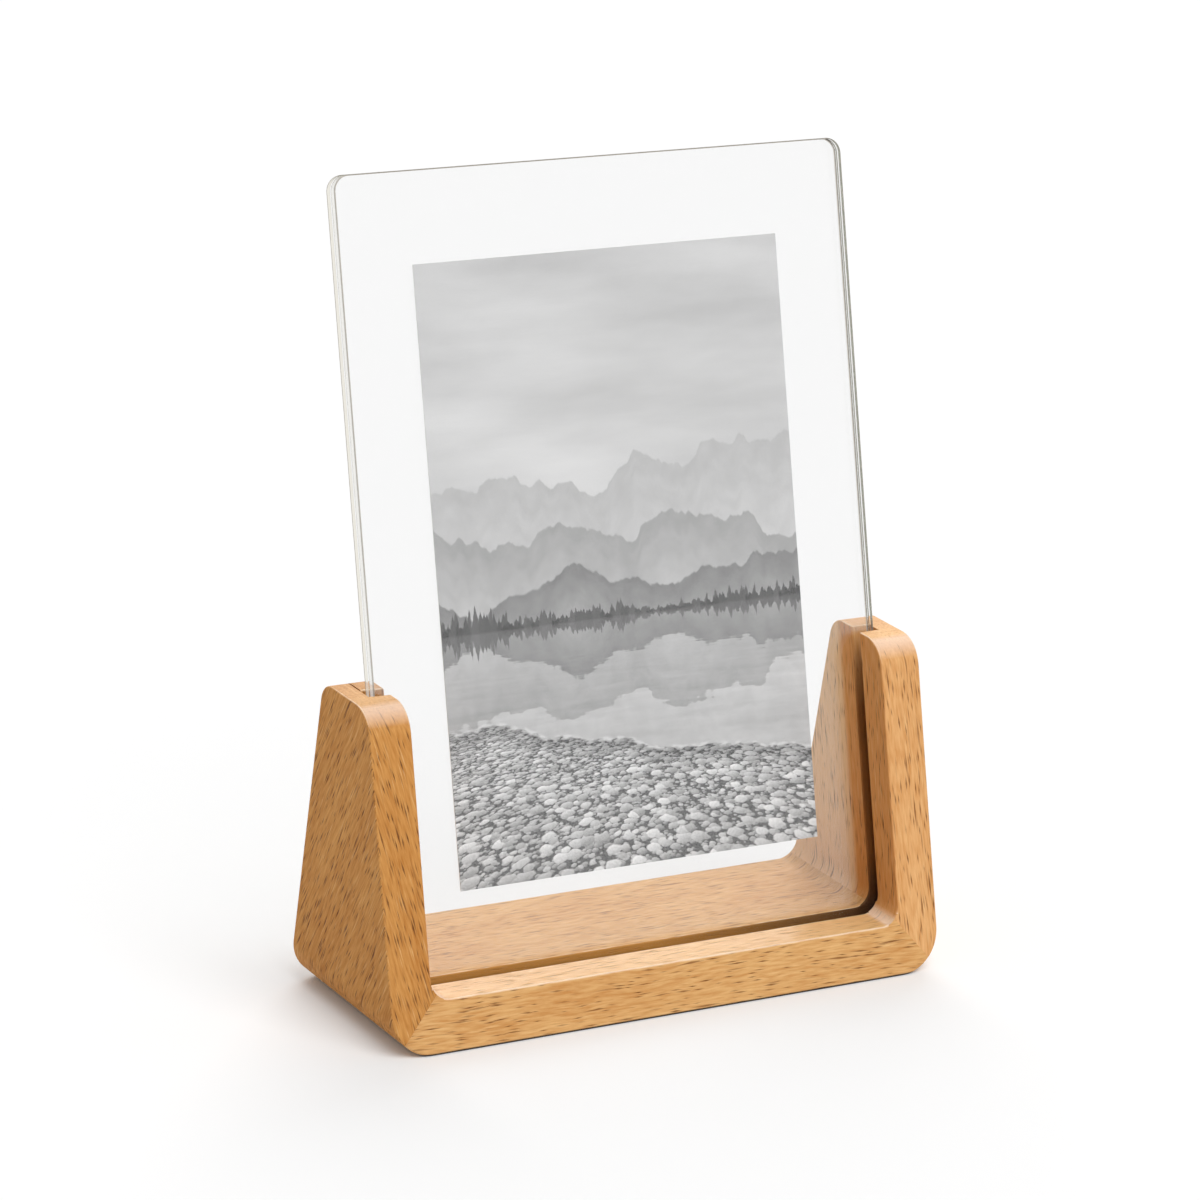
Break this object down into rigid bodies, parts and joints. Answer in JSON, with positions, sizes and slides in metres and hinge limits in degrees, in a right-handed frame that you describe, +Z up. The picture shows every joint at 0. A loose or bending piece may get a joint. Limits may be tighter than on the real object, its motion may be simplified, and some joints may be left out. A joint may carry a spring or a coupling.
{
  "type": "photo frame",
  "caption": "Desk photo frame: a leaning mitred beech stand with a slot that holds clear acrylic sheets, with a print floating between them.",
  "frame": {"origin": "middle of the stand's footprint, on the surface that it stands on", "axes": "+Z up, +X to the right of someone facing the print, -Y towards that person"},
  "size_m": [0.155, 0.0651, 0.2032],
  "materials": {
    "beech": "oiled, fine sanded beech",
    "dowel_beech": "plain turned beech",
    "acrylic": "clear, with polished edges",
    "photo_paper": "resin coated photo paper, black and white"
  },
  "bodies": {
    "stand": {"base_rail": "beech", "left_upright": "beech", "right_upright": "beech", "left_rear_strip": "beech", "right_rear_strip": "beech", "left_outer_dowel": "dowel_beech", "left_inner_dowel": "dowel_beech", "right_outer_dowel": "dowel_beech", "right_inner_dowel": "dowel_beech"},
    "front_sheet": {"front_sheet": "acrylic"},
    "rear_sheet": {"rear_sheet": "acrylic"},
    "photo_print": {"photo_print": "photo_paper"}
  },
  "joints": [
    {"name": "front_sheet_lift", "type": "slide", "parent": "stand", "child": "front_sheet", "axis": [0, 0.2419, 0.9703], "range_m": [0, 0.08]},
    {"name": "rear_sheet_lift", "type": "slide", "parent": "stand", "child": "rear_sheet", "axis": [0, 0.2419, 0.9703], "range_m": [0, 0.08]},
    {"name": "print_lift", "type": "slide", "parent": "rear_sheet", "child": "photo_print", "axis": [0, 0.2419, 0.9703], "range_m": [0, 0.178]}
  ]
}
